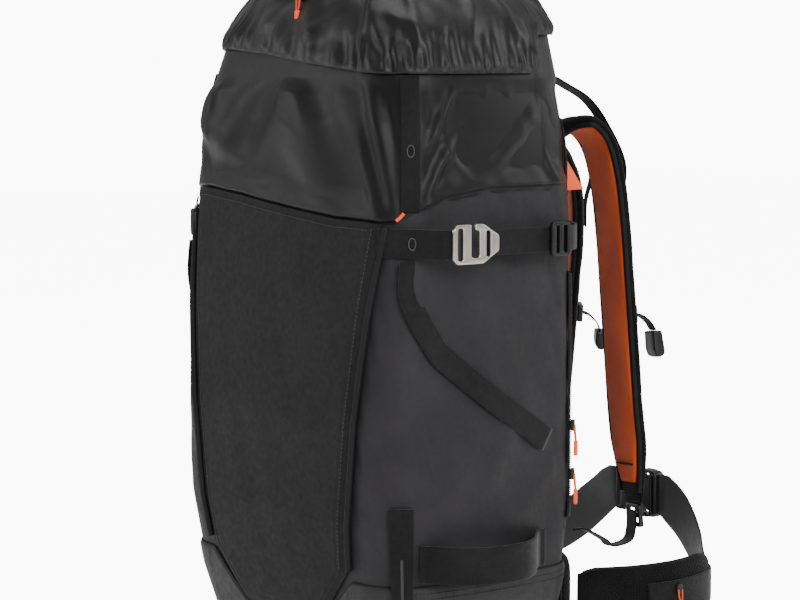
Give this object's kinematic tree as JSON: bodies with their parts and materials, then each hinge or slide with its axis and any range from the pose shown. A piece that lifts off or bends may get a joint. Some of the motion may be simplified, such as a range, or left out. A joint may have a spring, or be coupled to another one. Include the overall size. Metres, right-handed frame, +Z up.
{
  "type": "ski touring backpack",
  "caption": "Ski touring backpack with a stiff front panel, hinged lid, side ski straps with metal hooks, padded harness and hip belt.",
  "frame": {"origin": "middle of the whole pack's footprint, on the surface that it stands on", "axes": "+Z up, -Y towards the stiff front panel, +Y towards the wearer, +X to the wearer's right"},
  "size_m": [0.3784, 0.4254, 0.608],
  "materials": {
    "coated_cloth": "coated black nylon with a soft sheen",
    "panel_cloth": "stiff charcoal cloth",
    "base_cloth": "thick coated base cloth",
    "webbing": "woven black webbing",
    "grey_webbing": "smooth dark grey belt webbing",
    "mesh_foam": "black mesh over foam",
    "strap_lining": "burnt orange strap lining with black binding",
    "plastic": "black acetal",
    "orange_trim": "orange moulded pull",
    "hook_metal": "champagne anodised",
    "stay_metal": "plain bar",
    "frame_plastic": "polyethylene sheet"
  },
  "bodies": {
    "bag": {"back_pad": "mesh_foam", "back_zip": "webbing", "base_panel": "base_cloth", "compression_left": "webbing", "compression_right": "webbing", "corner_strip_left": "webbing", "corner_strip_right": "webbing", "frame_sheet": "frame_plastic", "frame_stay_left": "stay_metal", "frame_stay_right": "stay_metal", "front_panel": "panel_cloth", "ice_axe_loop": "webbing", "lifter_buckle_left": "plastic", "lifter_buckle_right": "plastic", "lumbar_pad": "mesh_foam", "main_bag": "coated_cloth", "panel_piping_left": "panel_cloth", "panel_piping_right": "panel_cloth", "side_tag": "orange_trim", "ski_anchor_left": "webbing", "ski_anchor_right": "webbing", "ski_ladder_left": "plastic", "ski_ladder_right": "plastic", "ski_loop_left": "webbing", "ski_loop_right": "webbing", "ski_strap_left": "webbing", "ski_strap_right": "webbing", "ski_tab_left": "webbing", "ski_tab_right": "webbing"},
    "lid": {"lid": "coated_cloth", "lid_liner": "coated_cloth", "lid_zip": "webbing"},
    "lid_slider": {"lid_zip_slider": "orange_trim"},
    "hook_right": {"hook_buckle_right": "hook_metal"},
    "hook_left": {"hook_buckle_left": "hook_metal"},
    "haul_handle": {"haul_loop": "webbing"},
    "zip_upper": {"back_zip_slider_upper": "orange_trim"},
    "zip_lower": {"back_zip_slider_lower": "orange_trim"},
    "wing_right": {"hip_wing_right": "mesh_foam", "hip_webbing_right": "grey_webbing", "hip_socket": "plastic"},
    "wing_left": {"hip_wing_left": "mesh_foam", "hip_webbing_left": "grey_webbing", "hip_plug": "plastic"},
    "hip_zip": {"hip_zip_slider": "orange_trim"},
    "strap_right": {"shoulder_strap_right": "strap_lining", "strap_ladder_right": "plastic", "strap_webbing_right": "webbing", "load_lifter_right": "webbing"},
    "sternum_right": {"sternum_slider_right": "plastic", "sternum_web_right": "webbing", "whistle_buckle": "plastic"},
    "strap_left": {"shoulder_strap_left": "strap_lining", "strap_ladder_left": "plastic", "strap_webbing_left": "webbing", "load_lifter_left": "webbing"},
    "sternum_left": {"sternum_slider_left": "plastic", "sternum_web_left": "webbing", "sternum_plug": "plastic"}
  },
  "joints": [
    {"name": "lid_open", "type": "hinge", "parent": "bag", "child": "lid", "pos_m": [0, 0.00798, 0.512], "axis": [-1, 0, 0], "range_deg": [0, 95]},
    {"name": "lid_zip_run", "type": "slide", "parent": "lid", "child": "lid_slider", "axis": [1, 0, 0], "range_m": [-0.045, 0.045]},
    {"name": "hook_right_swing", "type": "hinge", "parent": "bag", "child": "hook_right", "pos_m": [0.1754, -0.16202, 0.348], "axis": [0, 0, -1], "range_deg": [0, 60]},
    {"name": "hook_left_swing", "type": "hinge", "parent": "bag", "child": "hook_left", "pos_m": [-0.1754, -0.16202, 0.348], "axis": [0, 0, 1], "range_deg": [0, 60]},
    {"name": "haul_lift", "type": "hinge", "parent": "bag", "child": "haul_handle", "pos_m": [0, 0.00478, 0.476], "axis": [1, 0, 0], "range_deg": [0, 40]},
    {"name": "zip_upper_run", "type": "slide", "parent": "bag", "child": "zip_upper", "axis": [0, 0, 1], "range_m": [0, 0.11]},
    {"name": "zip_lower_run", "type": "slide", "parent": "bag", "child": "zip_lower", "axis": [0, 0, -1], "range_m": [0, 0.025]},
    {"name": "strap_right_swing", "type": "hinge", "parent": "bag", "child": "strap_right", "pos_m": [0.112, 0.02348, 0.096], "axis": [0.1108, 0, -0.9938], "range_deg": [-20, 15]},
    {"name": "strap_left_swing", "type": "hinge", "parent": "bag", "child": "strap_left", "pos_m": [-0.112, 0.02348, 0.096], "axis": [0.1108, 0, 0.9938], "range_deg": [0, 81]},
    {"name": "sternum_right_run", "type": "slide", "parent": "strap_right", "child": "sternum_right", "axis": [-0.1108, 0, 0.9938], "range_m": [-0.04, 0.04]},
    {"name": "sternum_left_run", "type": "slide", "parent": "strap_left", "child": "sternum_left", "axis": [0.1108, 0, 0.9938], "range_m": [-0.04, 0.04]},
    {"name": "wing_right_swing", "type": "hinge", "parent": "bag", "child": "wing_right", "pos_m": [0.1208, 0.02098, 0.005], "axis": [0, 0, -1], "range_deg": [0, 50]},
    {"name": "wing_left_swing", "type": "hinge", "parent": "bag", "child": "wing_left", "pos_m": [-0.1208, 0.02098, 0.005], "axis": [0, 0, 1], "range_deg": [0, 50]},
    {"name": "hip_zip_run", "type": "slide", "parent": "wing_right", "child": "hip_zip", "axis": [0, 1, 0], "range_m": [-0.02, 0.02]}
  ]
}
